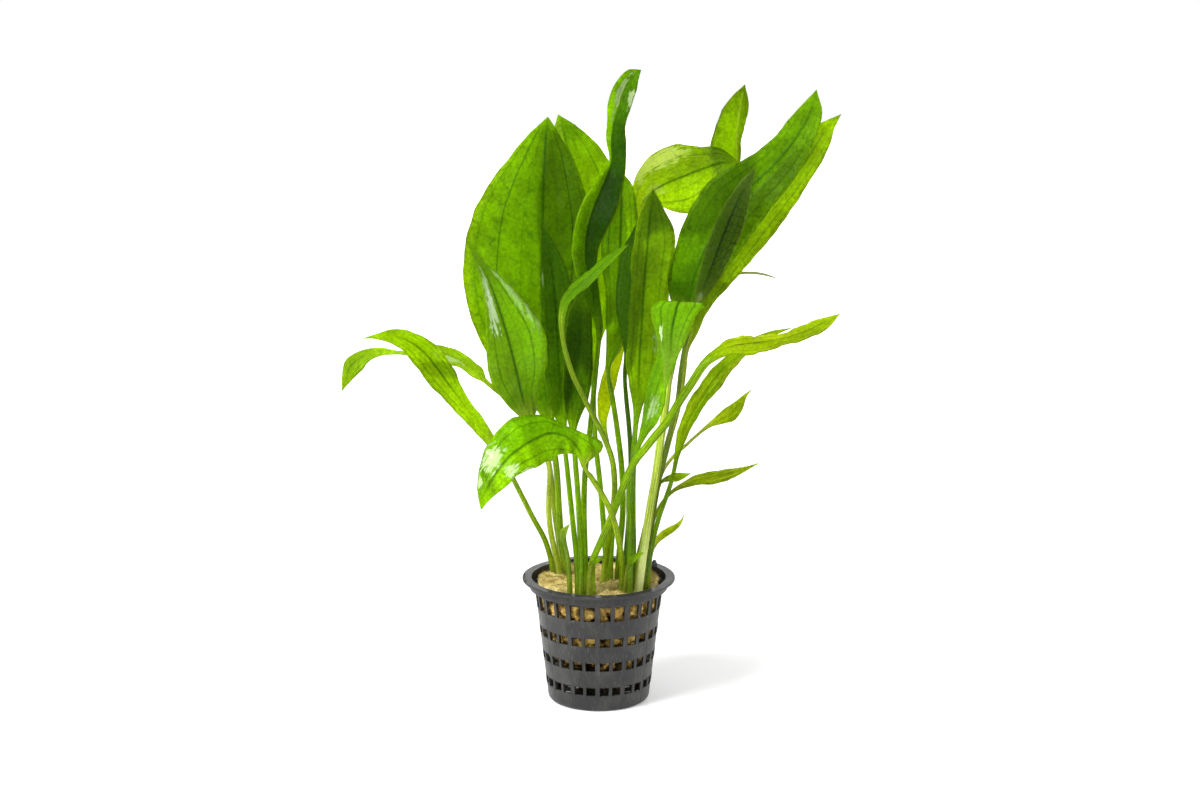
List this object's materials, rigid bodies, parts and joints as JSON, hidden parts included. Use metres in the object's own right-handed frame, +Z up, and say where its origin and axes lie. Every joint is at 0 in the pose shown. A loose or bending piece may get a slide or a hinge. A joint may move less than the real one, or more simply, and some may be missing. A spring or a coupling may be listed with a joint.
{
  "type": "potted plant",
  "caption": "Sword-leaved water plant rooted in a mineral-wool plug inside a small black slotted net pot that stands on its flat base.",
  "frame": {"origin": "centre of the flat face under the pot, on the surface it stands on", "axes": "+Z up along the pot's axis, -Y towards the side seen in the picture, +X to the right in the picture"},
  "size_m": [0.1774, 0.1142, 0.2253],
  "materials": {
    "pot": "satin moulded plastic, very dark grey",
    "wool_plug": "matt fibre",
    "leaf_bright": "glossy wet leaf, yellow-green",
    "leaf_fresh": "glossy wet leaf, fresh green",
    "leaf_middle": "glossy wet leaf, mid green",
    "leaf_deep": "glossy wet leaf, deep green",
    "leaf_dull": "dull leaf, grey-green"
  },
  "bodies": {
    "root": {"pot": "pot", "wool_plug": "wool_plug", "leaf_broad_left": "leaf_fresh", "leaf_behind_broad": "leaf_bright", "leaf_twisted_top": "leaf_middle", "leaf_centre_back": "leaf_fresh", "leaf_left_mid": "leaf_middle", "leaf_centre_right": "leaf_middle", "leaf_arched_centre": "leaf_fresh", "leaf_upper_right_front": "leaf_middle", "leaf_upper_right_back": "leaf_bright", "leaf_grey_narrow": "leaf_dull", "leaf_folded_right": "leaf_fresh", "leaf_long_right": "leaf_bright", "leaf_under_long": "leaf_fresh", "leaf_small_right_upper": "leaf_fresh", "leaf_small_right_middle": "leaf_bright", "leaf_tiny_right": "leaf_middle", "leaf_lowest_right": "leaf_bright", "stem_bract": "leaf_fresh", "shoot_front": "leaf_fresh", "bud_left": "leaf_fresh", "leaf_front_left_arched": "leaf_fresh", "leaf_left_arching_front": "leaf_fresh", "leaf_left_arching_back": "leaf_fresh", "leaf_strand_right": "leaf_dull", "leaf_back_round": "leaf_bright", "leaf_top_right_back": "leaf_bright", "leaf_left_dark": "leaf_deep", "leaf_centre_dark": "leaf_deep", "leaf_back_yellow": "leaf_bright", "leaf_behind_centre": "leaf_deep"}
  },
  "joints": []
}
